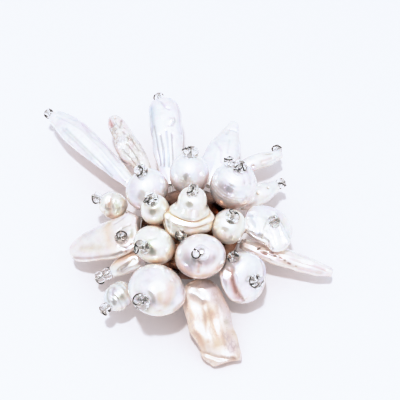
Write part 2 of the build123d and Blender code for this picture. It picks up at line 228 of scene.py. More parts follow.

# Marks that stand or sink by themselves: half width, height, tint and its
# strength, and the places on the photograph that they run through. Most tints are stains in the nacre; those
# noted are painted shade, painted reflection and painted warm bounce
MARKS = {
    "pearl_crown_ringed": (
        # Painted dark reflection on the front of the knob
        (0.55, -0.1, "green", 0.6, ((189, 204),)),
        (0.45, 0.22, "white", 0, ((196, 191),)),
        (1.2, 0.9, "white", 0.3, ((210, 218), (207, 227))),
        (1.5, 1.9, "white", 0.2, ((169, 214), (170, 222), (174, 230))),
        (0.28, -0.25, "blue", 0.8, ((171, 212), (170, 222), (174, 233))),
        (0.22, -0.2, "green", 0.7, ((175, 216), (176, 226))),
    ),
    "pearl_round_front": (
        (0.35, -0.2, "rose", 0.7, ((199, 258), (198.5, 266), (198, 273))),
        # Painted dark reflection on the pearl's front
        (1.5, -0.08, "grey", 1, ((187, 260), (189, 266))),
        (1, -0.1, "white", 0.3, ((200, 249),)),
        (0.7, -0.06, "grey", 0.7, ((206, 263), (214, 258))),
        # Painted warm bounce along the lower rim
        (0.8, 0, "peach", 0.6, ((182, 268), (192, 275), (207, 276), (217, 268))),
    ),
    "pearl_round_back": (
        # Painted dark reflection on the pearl's front
        (1.1, 0, "shade", 0.55, ((186, 179),)),
        # Painted warm bounce along the lower rim
        (0.8, 0, "peach", 0.6, ((173, 186), (178, 192), (203, 188), (207, 180))),
        (0.7, 0, "rose", 0.25, ((196, 168), (200, 178))),
    ),
    "pearl_large_back_right": (
        # Painted dark reflection on the pearl's front
        (1, 0, "grey", 0.9, ((221, 186), (227, 189))),
        (0.22, 0.14, "white", 0.5, ((236, 164), (244, 171), (248, 184))),
        (0.22, 0.14, "white", 0.5, ((242, 162), (250, 171), (253, 183))),
        (0.18, -0.12, "grey", 0.7, ((239, 163), (247, 171), (250.5, 184))),
        (0.18, -0.12, "grey", 0.6, ((233, 165), (241, 172), (245, 184))),
        (0.18, -0.12, "grey", 0.5, ((246, 163), (253, 172), (255, 182))),
        # Painted warm bounce along the lower rim
        (0.9, 0, "peach", 0.7, ((217, 202), (230, 207), (244, 203))),
    ),
    "pearl_round_left": (
        # Painted dark reflection on the pearl's front
        (0.8, -0.03, "shade", 0.85, ((151, 211), (156, 209))),
        # Painted warm bounce along the rim that meets its neighbours
        (0.5, 0, "peach", 0.6, ((164, 203), (167, 213), (162, 222))),
    ),
    "pearl_oval_front_left": (
        # Painted dark reflection on the pearl's front
        (0.9, -0.04, "shade", 1, ((150, 243), (152, 251))),
        (0.35, -0.05, "grey", 0.6, ((149, 239), (156, 238))),
        # Painted warm bounce along the lower rim
        (0.7, 0, "peach", 0.6, ((160, 260), (169, 254), (173, 244))),
    ),
    "pearl_oval_back_left": (
        (2.8, 0.45, "peach", 0.35, ((131, 199), (137, 205))),
        (1, -0.03, "blue", 0.4, ((132, 186), (135, 194))),
        # Painted warm bounce along the rim that meets its neighbour
        (0.8, 0, "peach", 0.5, ((166, 180), (169, 192), (163, 203))),
        (0.6, -0.06, "grey", 0.25, ((148, 184), (152, 196))),
    ),
    "pearl_round_right": (
        # Painted dark reflection on the pearl's front
        (0.9, -0.05, "brown", 0.2, ((229, 236), (233, 239))),
        (0.7, -0.05, "grey", 0.2, ((226, 222),)),
    ),
    "pearl_large_front": (
        (1.3, -0.2, "grey", 0.35, ((140, 297),)),
        (0.8, -0.35, "beige", 0.6, ((160, 313),)),
        # Painted dark reflection, brownish, on the pearl's front
        (0.8, -0.06, "beige", 0.9, ((159, 287), (160, 302))),
        (1.1, -0.06, "peach", 0.9, ((171, 288), (168, 303))),
        (0.9, -0.05, "grey", 0.85, ((152, 303), (146, 309))),
        # Painted shade along the left edge
        (0.9, 0, "grey", 0.5, ((131, 280), (129.5, 295), (133, 306))),
        (0.8, 0, "grey", 0.4, ((148, 282), (152, 290))),
        (0.8, -0.08, "grey", 0.5, ((166, 306), (172, 304))),
    ),
    "pearl_heart": (
        (0.9, -1.1, "rose", 1, ((228, 272), (230, 282), (234, 292), (238, 300))),
        (0.4, -0.3, "pit", 0.5, ((230, 280), (233, 290), (236, 297))),
        (0.6, 0.35, "white", 0.4, ((236, 273), (239, 285), (244, 297))),
        (0.7, 0.4, "white", 0.3, ((222, 268), (223, 280), (227, 292), (232, 301))),
        (0.8, -0.35, "pit", 0.7, ((235, 259),)),
        (0.9, -0.15, "grey", 0.2, ((250, 277),)),
        (0.7, -0.2, "lilac", 0.6, ((262, 262), (265, 275), (262, 290))),
    ),
    "pearl_small_front_left": (
        (3, 0, "blue", 0.45, ((113, 297),)),
        # Painted dark reflection on the pearl's front
        (0.7, -0.1, "shade", 0.8, ((116, 296), (122, 297))),
        (0.25, -0.1, "grey", 0.9, ((109, 289), (107, 295), (109, 302))),
        (0.25, -0.1, "grey", 0.8, ((114, 287), (112, 294), (114, 304))),
    ),
    "pearl_small_left": (
        (2.6, 0, "grey", 0.22, ((114, 207),)),
        (0.55, -0.25, "rose", 0.8, ((109, 199), (110, 210), (111, 217))),
        (0.7, -0.05, "brown", 0.5, ((109, 205),)),
        (0.5, -0.15, "green", 0.5, ((117, 203), (118, 212))),
    ),
    "stick_top": (
        (0.5, 0.38, "white", 0.3, ((171.5, 120.5),)),
        # Painted shade: a crescent at the lower right of the pimple
        (0.22, -0.14, "grey", 0.6, ((175, 117), (175.5, 121), (173, 125), (169, 125.5))),
        (0.28, -0.22, "lilac", 0.8, ((161, 101), (165, 107), (169, 109))),
        # Painted shade along the left flank; the second of these marks also sinks a groove
        (0.9, 0, "blue", 0.6, ((151, 108), (148, 122), (151, 138), (155, 160))),
        (0.38, -0.22, "blue", 1, ((151, 108), (148, 122), (151, 138), (155, 160))),
        (0.2, -0.2, "grey", 0.9, ((154, 126), (157, 145), (160, 165))),
        (0.2, -0.24, "grey", 0.9, ((160, 134), (163, 148), (164, 166))),
        (0.2, -0.24, "blue", 1, ((166, 130), (168, 148), (169, 166))),
        (0.2, -0.22, "grey", 0.9, ((172, 133), (173, 150), (173, 165))),
        (0.3, -0.12, "lilac", 0.7, ((177, 104), (180, 118), (182, 134))),
        (0.8, 0.1, "white", 0.4, ((162, 116),)),
    ),
    "stick_upper_left": (
        (0.4, 0.26, "white", 0.6, ((60, 120), (80, 131), (98, 148), (115, 168), (125, 180))),
        # A shallow groove with painted shade along the lower edge
        (0.55, -0.28, "grey", 0.3, ((62, 130), (75, 143), (90, 158), (104, 172), (115, 183))),
        (0.25, -0.16, "green", 0.5, ((66, 129), (80, 143), (96, 159), (112, 176))),
        # A shallow groove with painted shade along the upper edge
        (0.5, -0.18, "lilac", 0.5, ((78, 119), (93, 130), (107, 146), (119, 162))),
        (0.22, -0.12, "grey", 0.3, ((70, 118), (86, 126), (100, 139))),
        (0.25, -0.1, "blue", 0.5, ((56, 116), (70, 123))),
    ),
    "stick_upper_right": (
        (0.3, -0.16, "blue", 0.5, ((226, 124), (229, 129), (236, 131))),
        (0.3, -0.12, "lilac", 0.6, ((215, 142), (221, 150), (222, 162))),
        (0.25, -0.1, "blue", 0.4, ((230, 140), (228, 152))),
    ),
    "stick_pitted": (
        (0.5, -0.3, "rose", 0.95, ((109, 121), (112, 126))),
        (0.24, -0.25, "pit", 0.7, ((115, 118),)),
        (0.18, -0.2, "grey", 0.9, ((119, 116), (122, 120))),
        (0.18, -0.25, "black", 0.7, ((122, 121),)),
        (0.18, -0.25, "black", 0.7, ((124.5, 127.5),)),
        (0.22, -0.28, "grey", 0.8, ((116, 130),)),
        (0.18, -0.2, "grey", 0.9, ((123, 131), (125, 134))),
        (0.2, -0.25, "black", 0.6, ((119, 143),)),
        (0.18, -0.2, "grey", 0.9, ((127, 137), (130, 140))),
        (0.16, -0.2, "grey", 1, ((127, 144), (132, 150), (137, 158), (141, 166))),
        (0.16, -0.2, "grey", 0.8, ((124, 150), (130, 158), (136, 166), (139, 171))),
        (0.18, -0.18, "grey", 0.6, ((130, 136), (135, 144), (139, 151))),
        (1.6, 0.9, "lilac", 0.25, ((116, 148), (122, 160))),
    ),
    "petal_bottom": (
        (2.2, -1, "white", 0, ((188, 352),)),
        (1.5, 1, "white", 0, ((239, 363),)),
        (1.6, -0.5, "white", 0, ((237, 325),)),
        (0.35, 0.2, "white", 0.5, ((194, 353), (206, 358), (218, 362), (233, 363))),
        (0.3, -0.15, "brown", 0.4, ((196, 350), (206, 354), (218, 358), (229, 359))),
        (0.4, -0.3, "brown", 0.8, ((232, 358),)),
        (1.3, -0.5, "white", 0, ((203, 363), (209, 366))),
        (1.2, -0.12, "beige", 1, ((208, 303), (212, 322), (218, 345))),
        (0.8, -0.05, "rose", 0.5, ((214, 315), (219, 335))),
        (0.35, -0.05, "brown", 0.5, ((203, 300), (206, 320), (208, 342))),
        (0.35, -0.04, "brown", 0.4, ((217, 306), (222, 326), (225, 345))),
        (0.6, -0.1, "green", 0.45, ((227, 322),)),
        (0.9, -0.2, "blue", 0.8, ((194, 293), (202, 298))),
        (0.8, 0, "peach", 0.6, ((192, 306), (196, 325), (201, 344))),
        (0.8, 0, "lilac", 0.5, ((229, 335), (233, 350))),
        (0.5, 0, "amber", 0.5, ((187, 283), (199, 279), (213, 281))),
    ),
    "plate_right": (
        (1.5, -1.5, "white", 0, ((246, 238), (254, 243), (262, 247))),
        (1.8, -0.8, "white", 0, ((293, 212), (295, 222))),
        (1.2, 0.5, "white", 0, ((289, 242),)),
        (0.45, 0.3, "white", 0.4, ((274, 212), (280, 228), (286, 243))),
        (0.7, -0.35, "blue", 0.7, ((252, 214), (257, 226), (259, 234))),
        (0.35, -0.22, "pit", 0.5, ((252, 233), (256, 236))),
        (0.6, -0.2, "grey", 0.3, ((268, 219),)),
        (0.6, -0.15, "blue", 0.5, ((268, 230), (272, 240))),
        (0.5, -0.12, "beige", 0.4, ((247, 216), (246, 224))),
        # Painted shade in the dent
        (0.6, -0.2, "shade", 0.5, ((249, 226), (253, 229))),
        # Painted shade along the right edge
        (0.18, -0.1, "grey", 0.8, ((279, 209), (285, 224), (289, 238))),
        (0.18, -0.15, "grey", 0.8, ((266, 223), (263, 232), (262, 238))),
        (0.18, -0.12, "grey", 0.7, ((270, 228), (274, 236), (276, 244))),
        (0.18, -0.12, "grey", 0.6, ((278, 226), (281, 236))),
    ),
    "petal_left": (
        (1.4, 0.9, "white", 0, ((130, 214), (140, 216))),
        (0.8, -0.2, "blue", 0.5, ((125, 238),)),
        (1, -0.04, "peach", 0.7, ((108, 226), (109, 245))),
        (0.8, -0.06, "beige", 0.6, ((82, 248), (100, 247))),
        (0.9, 0, "lilac", 0.5, ((84, 236), (92, 232))),
        (0.5, -0.12, "green", 0.6, ((131, 230), (132, 243))),
        (0.3, -0.18, "pit", 0.7, ((126, 252),)),
        # Painted shade along the lower lip
        (0.3, 0, "grey", 0.75, ((74, 258), (90, 258), (107, 256), (122, 252))),
        (0.22, -0.15, "grey", 0.6, ((116, 233), (122, 228), (130, 225))),
        (0.22, -0.15, "blue", 0.8, ((119, 246), (126, 249), (133, 244))),
        (0.22, -0.12, "lilac", 0.7, ((114, 224), (124, 219), (134, 216))),
        (0.7, -0.12, "grey", 0.35, ((122, 228), (128, 234))),
    ),
    "stick_right": (
        (0.18, -0.12, "black", 0.9, ((241, 238),)),
        (0.18, -0.12, "black", 0.9, ((245, 239.5),)),
        (0.18, -0.12, "black", 1, ((258, 249), (260, 248))),
        (0.24, -0.15, "black", 1, ((264, 252.5), (266.5, 253.5))),
        (0.18, -0.12, "black", 0.9, ((271.5, 252), (273, 252.8))),
        (0.18, -0.12, "black", 1, ((274, 256), (275.5, 256.6))),
        (0.2, -0.12, "black", 1, ((280, 257.6), (282, 258.5))),
        (0.18, -0.12, "black", 0.9, ((284.5, 260.5),)),
        (0.18, -0.12, "black", 1, ((288, 263), (290, 264))),
        (0.18, -0.1, "black", 0.8, ((296, 266.5),)),
        (0.3, -0.12, "rose", 0.4, ((262, 252), (280, 261), (300, 269), (322, 273))),
        (0.22, -0.12, "rose", 0.45, ((280, 256), (302, 262), (326, 270))),
        (0.4, 0.1, "white", 0.5, ((250, 237), (264, 246), (284, 256), (305, 261))),
    ),
    "twig_right_upper": (
        (0.3, -0.3, "pit", 0.7, ((253, 166),)),
        (0.35, -0.12, "rose", 0.5, ((262, 162), (272, 158))),
        (0.2, -0.15, "brown", 0.5, ((266, 154), (272, 153))),
    ),
    "twig_right_lower": (
        (0.35, -0.35, "brown", 0.9, ((258, 193),)),
        (0.26, -0.25, "pit", 0.8, ((268, 188),)),
        (0.4, -0.1, "peach", 0.7, ((250, 192), (255, 186))),
    ),
    "twig_front_left": (
        (0.5, -0.25, "grey", 0.7, ((121, 270), (129, 264), (134, 260))),
        # Painted warm shade where it meets the pearls
        (0.5, -0.05, "peach", 0.5, ((130, 254), (136, 254))),
    ),
}


def direction(heading, lean):
    """Unit vector that points heading degrees around Z and lean degrees up."""
    level = math.cos(math.radians(lean))
    return np.array([
        level * math.cos(math.radians(heading)),
        level * math.sin(math.radians(heading)),
        math.sin(math.radians(lean)),
    ])


def middle_of(node):
    """Middle of a node's box in millimetres."""
    low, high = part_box(node)
    return (np.array(low) + np.array(high)) / 2 / MM


def curve(values):
    """Smooth curve through values that are spread evenly over s from -1 to 1."""
    stations = np.linspace(-1, 1, len(values))
    return np.poly1d(np.polyfit(stations, values, len(values) - 1))


# The sieve's place and the camera's frame, in millimetres
sieve_middle = middle_of("sieve_dome")
sieve_low, sieve_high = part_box("sieve_dome")
sieve_top = sieve_high[2] / MM - shade_drop
sieve_radius = (sieve_high[0] - sieve_low[0]) / 2 / MM
target = np.array([sieve_middle[0], sieve_middle[1], target_height])
view_right = np.array([1.0, 0.0, 0.0])
view_up = np.array([0.0, math.sin(elevation), math.cos(elevation)])
view_forward = np.array([0.0, math.cos(elevation), -math.sin(elevation)])
eye = target - view_forward * camera_distance


def sight(px, py):
    """Direction of the line of sight through a place on the photograph."""
    way = (view_forward + view_right * (px - target_px[0]) / focal_px
           - view_up * (py - target_px[1]) / focal_px)
    return way / np.linalg.norm(way)


def make_camera():
    data = bpy.data.cameras.new("camera")
    data.sensor_width = sensor_width
    data.lens = sensor_width * focal_px / image_px
    data.shift_x = (image_px / 2 - target_px[0]) / image_px
    data.shift_y = (target_px[1] - image_px / 2) / image_px
    data.clip_start = nearest_seen
    camera = bpy.data.objects.new("camera", data)
    camera.location = Vector(eye * MM)
    camera.rotation_euler = (math.pi / 2 - elevation, 0, 0)
    bpy.context.scene.collection.objects.link(camera)
    bpy.context.scene.camera = camera


class Nodes:
    """Small helper that builds the node tree of a new material, or of the world."""

    def __init__(self, name, kind="Material"):
        owners = {"Material": bpy.data.materials, "World": bpy.data.worlds}
        self.owner = owners[kind].new(name)
        self.owner.use_nodes = True
        self.tree = self.owner.node_tree
        self.tree.nodes.clear()
        self.output = self.add("Output" + kind)

    def put(self, value, socket):
        """Links a socket to an input, or gives the input a value."""
        if isinstance(value, bpy.types.NodeSocket):
            self.tree.links.new(value, socket)
        else:
            socket.default_value = value

    def add(self, kind, **values):
        """New node with its settings, and its inputs, whose names start with a capital."""
        node = self.tree.nodes.new("ShaderNode" + kind)
        for name, value in values.items():
            if name[0].isupper():
                self.put(value, node.inputs[name.replace("_", " ")])
            else:
                setattr(node, name, value)
        return node

    def join(self, kind, *values, **settings):
        """First output of a new node whose inputs take the values in turn."""
        node = self.add(kind, **settings)
        for value, socket in zip(values, node.inputs):
            self.put(value, socket)
        return node.outputs[0]

    def mapped(self, scale, offset=(0, 0, 0)):
        """Object coordinates in millimetres times a scale."""
        place = self.add("TexCoord").outputs["Object"]
        node = self.add("Mapping", Vector=place, Scale=[s / MM for s in scale], Location=offset)
        return node.outputs["Vector"]

    def noise(self, scale, detail=3.0, rough=0.55, warp=0.0, offset=(0, 0, 0)):
        place = self.mapped(scale, offset)
        node = self.add("TexNoise", Vector=place, Scale=1.0, Detail=detail, Roughness=rough, Distortion=warp)
        return node.outputs["Fac"]

    def ramp(self, value, stops):
        """Colour ramp with (place, colour) stops."""
        node = self.add("ValToRGB", Fac=value)
        elements = node.color_ramp.elements
        while len(elements) < len(stops):
            elements.new(0.5)
        for element, (place, colour) in zip(elements, stops):
            element.position = place
            element.color = (*colour, 1.0)
        return node.outputs["Color"]

    def spread(self, value, low, high, out_low, out_high):
        node = self.add("MapRange", Value=value, From_Min=low, From_Max=high, To_Min=out_low, To_Max=out_high)
        return node.outputs["Result"]

    def blend(self, factor, a, b, mode="MIX"):
        """Mix of two colours; the factor is a socket or a number."""
        node = self.add("Mix", data_type="RGBA", blend_type=mode)
        for value, socket in ((factor, node.inputs[0]), (a, node.inputs[6]), (b, node.inputs[7])):
            self.put((*value, 1.0) if isinstance(value, tuple) else value, socket)
        return node.outputs[2]

    def bump(self, height, distance, strength=1.0, normal=None):
        node = self.add("Bump", Height=height, Distance=distance * MM, Strength=strength)
        if normal is not None:
            self.put(normal, node.inputs["Normal"])
        return node.outputs["Normal"]

    def surface(self, **values):
        shader = self.add("BsdfPrincipled", **values)
        self.put(shader.outputs["BSDF"], self.output.inputs["Surface"])


# Nacre tints: three tints that drift over a pearl, and a warm tint for its growth lines and for its painted
# shade between pearls
NACRE = {
    "white": ((0.96, 0.9, 0.85), (0.97, 0.97, 0.97), (0.92, 0.89, 0.95), (0.8, 0.52, 0.34)),
    "cream": ((0.97, 0.9, 0.79), (0.98, 0.97, 0.93), (0.9, 0.94, 0.85), (0.8, 0.51, 0.3)),
    "rose": ((0.98, 0.87, 0.86), (0.98, 0.95, 0.96), (0.94, 0.83, 0.93), (0.82, 0.49, 0.33)),
    "lavender": ((0.94, 0.9, 0.98), (0.98, 0.98, 0.99), (0.89, 0.88, 0.98), (0.81, 0.55, 0.4)),
    "crackled": ((0.9, 0.81, 0.78), (0.92, 0.87, 0.86), (0.85, 0.74, 0.71), (0.86, 0.74, 0.68)),
    "beige": ((0.75, 0.59, 0.49), (0.83, 0.71, 0.64), (0.69, 0.6, 0.61), (0.72, 0.42, 0.29)),
    "blush": ((0.94, 0.84, 0.79), (0.95, 0.9, 0.88), (0.89, 0.75, 0.7), (0.93, 0.79, 0.73)),
}

# How a finish shines: lustre, gloss, and its least and greatest roughness
USUAL_SHINE = (0.4, 0.9, 0.15, 0.22)
SHINE = {"crackled": (0.2, 0.7, 0.15, 0.22), "beige": (0.12, 0.4, 0.26, 0.38)}

# How dark the painted shade in the closest gaps of a finish gets
USUAL_GAP_SHADE_DEPTH = 1.0
GAP_SHADE_DEPTH = {"blush": 0.12}

# Tints that every finish shares: painted warm shade and bounce on faces that turn down, painted shade for the
# closest gaps, the mottle, and the crackle's seams
PAINTED_UNDERSIDE_BOUNCE = (1.0, 0.8, 0.68)
PAINTED_GAP_SHADE = (0.04, 0.015, 0.01)
MOTTLE = (0.8, 0.78, 0.8)
SEAM = (0.6, 0.51, 0.49)

# Thickness of the film whose colours play over the nacre, in nanometres
FILM = (330.0, 560.0)


def crackle(n):
    """Net of fine seams, in patches: how deep the seams are, and where they show."""
    warp = n.noise((0.9, 0.9, 0.9), 2.0, offset=(5, 2, 1))
    place = n.join("VectorMath", n.mapped((1.8, 1.8, 0.75)), warp, operation="ADD")
    cells = n.add("TexVoronoi", feature="DISTANCE_TO_EDGE", Vector=place, Scale=1.0)
    seam = n.spread(cells.outputs["Distance"], 0.02, 0.16, 1.0, 0.0)
    patch = n.spread(n.noise((0.45, 0.45, 0.3), 2.0, offset=(2, 7, 4)), 0.42, 0.62, 0.0, 1.0)
    return seam, n.join("Math", seam, patch, operation="MULTIPLY")


def nacre(name):
    """Layered pearl: tints that drift, thin growth lines, painted warm shade under it and painted shade near
    its neighbours, a soft sheen under a clear gloss.
    """
    first, second, third, line_and_shade_tint = NACRE[name]
    lustre, gloss, smoothest, roughest = SHINE.get(name, USUAL_SHINE)
    n = Nodes("nacre_" + name)
    drift = n.noise((0.22, 0.22, 0.16), 3.0, 0.5, 0.6)
    tint = n.ramp(drift, ((0.3, first), (0.5, second), (0.7, third)))
    lines = n.noise((0.25, 0.25, 2.4), 4.0, 0.6, 0.3)
    tint = n.blend(n.spread(lines, 0.35, 0.7, 0.0, 0.1), tint, line_and_shade_tint, "MULTIPLY")
    if name in SHINE:
        seam, shown = crackle(n)
        tint = n.blend(shown, tint, SEAM)
    mottle = n.noise((0.75, 0.75, 0.75), 4.0, 0.6, 0.4, offset=(4, 9, 6))
    tint = n.blend(n.spread(mottle, 0.45, 0.68, 0.0, 0.5), tint, MOTTLE, "MULTIPLY")
    # The marks' tints: stains in the nacre, and painted shade, painted reflection and painted warm bounce
    stain_and_shade = n.add("Attribute", attribute_name="stain_and_shade").outputs["Color"]
    tint = n.blend(1.0, tint, stain_and_shade, "MULTIPLY")
    # Painted warm shade and bounce: faces that turn down are tinted warmer and darker
    split = n.add("SeparateXYZ", Vector=n.add("NewGeometry").outputs["Normal"])
    tint = n.blend(n.spread(split.outputs["Z"], -0.5, 0.45, 0.75, 0.0), tint, PAINTED_UNDERSIDE_BOUNCE, "MULTIPLY")
    # Painted shade between parts: the closer a point is to a neighbour or the sieve, the more it takes the
    # warm shade tint, and the closest turn near black
    contact_shade = n.add("Attribute", attribute_name="contact_shade").outputs["Fac"]
    colour = n.blend(n.spread(contact_shade, 0.35, 0.95, 0.0, 0.85), tint, line_and_shade_tint)
    colour = n.blend(n.spread(contact_shade, 0.8, 1.0, 0.0, GAP_SHADE_DEPTH.get(name, USUAL_GAP_SHADE_DEPTH)), colour, PAINTED_GAP_SHADE)
    fine = n.noise((1.6, 1.6, 1.6), 4.0, 0.6)
    normal = n.bump(mottle, 0.05, 0.5, n.bump(fine, 0.02, 0.5))
    normal = n.bump(lines, 0.03, 0.35, normal)
    if name == "crackled":
        normal = n.bump(n.spread(seam, 0.0, 1.0, 1.0, 0.0), 0.07, 0.6, normal)
    film = {}
    if name != "beige":
        thickness = n.spread(n.noise((0.3, 0.3, 0.3), 2.0, offset=(3, 1, 2)), 0.3, 0.7, *FILM)
        film = {"Thin_Film_IOR": 1.45, "Thin_Film_Thickness": thickness}
    n.surface(
        Base_Color=colour, Roughness=n.spread(fine, 0.3, 0.7, smoothest, roughest), IOR=1.75, Metallic=lustre,
        Coat_Weight=gloss, Coat_Roughness=0.05, Coat_IOR=1.6,
        Subsurface_Weight=0.15, Subsurface_Radius=(1.0, 0.62, 0.42), Subsurface_Scale=1.2 * MM,
        Normal=normal, **film,
    )
    return n.owner


def metal(name, light, dark, rough, scratch):
    """Metal with a drifting tone, darker patches and fine scratches."""
    n = Nodes(name)
    tone = n.noise((0.35, 0.35, 0.35), 3.0)
    lines = n.noise((0.6, 6.0, 6.0), 4.0, 0.7)
    n.surface(
        Base_Color=n.ramp(tone, ((0.35, dark), (0.65, light))), Metallic=1.0,
        Roughness=n.spread(lines, 0.3, 0.7, rough * 0.7, rough * 1.5),
        Normal=n.bump(lines, scratch, 0.5),
    )
    return n.owner


def glass():
    """Clear glass with a faint wave in its surface."""
    n = Nodes("clear_glass")
    wave = n.noise((0.9, 0.9, 0.9), 2.0)
    n.surface(
        Base_Color=n.ramp(wave, ((0.3, (0.95, 0.98, 1.0)), (0.7, (1.0, 1.0, 1.0)))), Roughness=0.0, IOR=1.52,
        Normal=n.bump(wave, 0.05, 0.4), Transmission_Weight=1.0,
    )
    return n.owner


def grid_faces(rows, around):
    """Faces between closed rings of points that follow one another."""
    faces = []
    for r in range(rows - 1):
        for c in range(around):
            d = (c + 1) % around
            faces.append((r * around + c, r * around + d, (r + 1) * around + d, (r + 1) * around + c))
    return faces


class Pearl:
    """One pearl's shape and place, worked out as its solid's is."""

    def __init__(self, name, row):
        self.name = name
        for column, value in zip(PEARL_COLUMNS, row):
            setattr(self, column, value)
        for column, value in zip(FORM_COLUMNS, FORMS[self.form]):
            setattr(self, column, curve(value) if isinstance(value, tuple) else value)
        self.ring, self.ring_count = RINGS.get(name, (0, 0))
        self.stem = direction(self.heading, self.lean)
        self.along = direction(self.heading + self.yaw, self.lean + self.pitch)
        self.across = direction(self.heading + self.yaw - 90, 0)
        self.up = np.cross(self.across, self.along)
        self.axes = np.column_stack((self.across, self.up, self.along))
        self.turned = bool(self.yaw or self.pitch)
        self.seed = seed_step * (1 + list(PEARLS).index(name))

    def section(self, s):
        end = (1 - abs(s) ** self.fullness) ** (1 / self.fullness)
        girth = self.girth(s)
        half_width = land_radius + (self.width / 2 * girth - land_radius) * end
        half_depth = land_radius + (self.depth / 2 * girth - land_radius) * end
        return half_width, half_depth, self.sway(s) * self.width, self.arch(s) * self.depth, end

    def ring_points(self, s, angle):
        half_width, half_depth, shift, rise, end = self.section(s)
        off = (np.degrees(angle) - self.fold_at + 180) % 360 - 180
        left = 1 - self.fold * np.exp(-(off / fold_width) ** 2) * end
        x = shift + half_width * np.cos(angle) * left
        y = rise + half_depth * np.sin(angle) * left
        return np.column_stack((x, y, np.full(len(angle), s * self.length / 2)))

    def build(self):
        """The grid of points in the pearl's own axes, in rings from end to end."""
        girth = math.pi * (self.width + self.depth) / 2
        around = max(fewest_around, 4 * round(girth / mesh_edge / 4))
        reach = self.length + min(self.width, self.depth) / 2
        rows = max(fewest_rows, round(row_share * reach / mesh_edge))
        angle = np.arange(around) * 2 * math.pi / around
        stations = -np.cos(np.linspace(0, math.pi, rows))
        rings = [self.ring_points(s, angle) for s in stations]
        self.local = np.array(rings)
        world = self.local.reshape(-1, 3) @ self.axes.T
        self.centre = middle_of(self.name) - (world.min(0) + world.max(0)) / 2
        self.relief()

    def world(self, points):
        return points @ self.axes.T + self.centre

    def normals(self):
        """Outward normals of the grid."""
        turn = np.roll(self.local, -1, axis=1) - np.roll(self.local, 1, axis=1)
        run = np.gradient(self.local, axis=0)
        normal = np.cross(turn, run)
        size = np.linalg.norm(normal, axis=2, keepdims=True)
        return normal / np.maximum(size, 1e-9)

    def tree(self):
        points = self.world(self.local.reshape(-1, 3))
        rows, around = self.local.shape[:2]
        return BVHTree.FromPolygons([Vector(p) for p in points], grid_faces(rows, around))

    def on_skin(self, tree, px, py):
        """The point of the skin under a place on the photograph."""
        way = sight(px, py)
        hit = tree.ray_cast(Vector(eye), Vector(way))[0]
        if hit is None:
            near = eye + way * float((self.centre - eye) @ way)
            hit = tree.find_nearest(Vector(near))[0]
        return np.array(hit)

    def relief(self):
        """Lumps, wrinkles, rings and marks, along the normals."""
        normal = self.normals()
        points = self.local.reshape(-1, 3)
        s = points[:, 2] / (self.length / 2)
        angle = np.arctan2(points[:, 1], points[:, 0])
        height = self.lump * lump_gain * np.array([
            noise.noise(Vector(p / self.lump_size) + Vector((self.seed, 0, 0))) for p in points
        ])
        if self.wrinkle:
            a = np.cos(angle) * self.wrinkle_count / wrinkle_spread
            b = np.sin(angle) * self.wrinkle_count / wrinkle_spread
            c = points[:, 2] / self.wrinkle_run
            first = np.column_stack((a, b, c + self.seed))
            second = np.column_stack((finer_around * a, finer_around * b, finer_along * c - self.seed))
            height += self.wrinkle * wrinkle_gain * np.array([
                noise.noise(Vector(one)) + second_share * noise.noise(Vector(two))
                for one, two in zip(first, second)
            ])
        if self.ring:
            drift = np.array([noise.noise(Vector(p / ring_lump) + Vector((0, self.seed, 0))) for p in points])
            height += self.ring * np.sin(math.pi * self.ring_count * s + ring_drift * drift)
        self.stain_and_shade = np.ones((len(points), 3))
        for place, half_width, tall, stain_and_shade, strength in COLLARS.get(self.name, ()):
            near = np.exp(-((s - place) * self.length / 2 / half_width) ** 2)
            height += tall * near
            self.dye_and_shade(stain_and_shade, strength * near)
        tree = self.tree()
        world = self.world(points)
        for half_width, tall, stain_and_shade, strength, places in MARKS[self.name]:
            line = np.array([self.on_skin(tree, *place) for place in places])
            near = np.exp(-(distance_to(world, line) / half_width) ** 2)
            height += tall * near
            self.dye_and_shade(stain_and_shade, strength * near)
        height *= np.clip((1 - np.abs(s)) * self.length / 2 / end_fade, 0.0, 1.0)
        self.local = (points + normal.reshape(-1, 3) * height[:, None]).reshape(self.local.shape)

    def dye_and_shade(self, stain_and_shade, share):
        """Moves each point's tint towards a mark's tint by its share; these tints are stains and painted
        light.
        """
        self.stain_and_shade += (np.array(STAINS_AND_PAINTED_LIGHT[stain_and_shade]) - self.stain_and_shade) * share[:, None]

    def mesh(self):
        """The whole skin as an object, with a drilled hole or a closed end at each end."""
        rows, around = self.local.shape[:2]
        points = [self.local.reshape(-1, 3)]
        faces = grid_faces(rows, around)
        count = rows * around
        *rings, (_, tip) = CLOSED_END if self.turned else DRILLED_END
        for end, row in ((-1, 0), (1, rows - 1)):
            rim = self.local[row]
            middle = rim.mean(axis=0)
            spokes = (rim - middle) / land_radius
            last = row * around
            for radius, depth in rings:
                ring = middle + spokes * radius
                ring[:, 2] -= end * depth
                points.append(ring)
                for c in range(around):
                    d = (c + 1) % around
                    quad = (last + c, last + d, count + d, count + c)
                    faces.append(quad if end > 0 else quad[::-1])
                last = count
                count += around
            points.append((middle - np.array([0, 0, end * tip]))[None])
            for c in range(around):
                d = (c + 1) % around
                fan = (last + c, last + d, count)
                faces.append(fan if end > 0 else fan[::-1])
            count += 1
        points = [Vector(p * MM) for p in np.concatenate(points)]
        place = Matrix.Translation(Vector(self.centre * MM)) @ Matrix(self.axes.tolist()).to_4x4()
        return new_object(self.name + "_skin", points, faces, materials["nacre_" + self.finish], place)

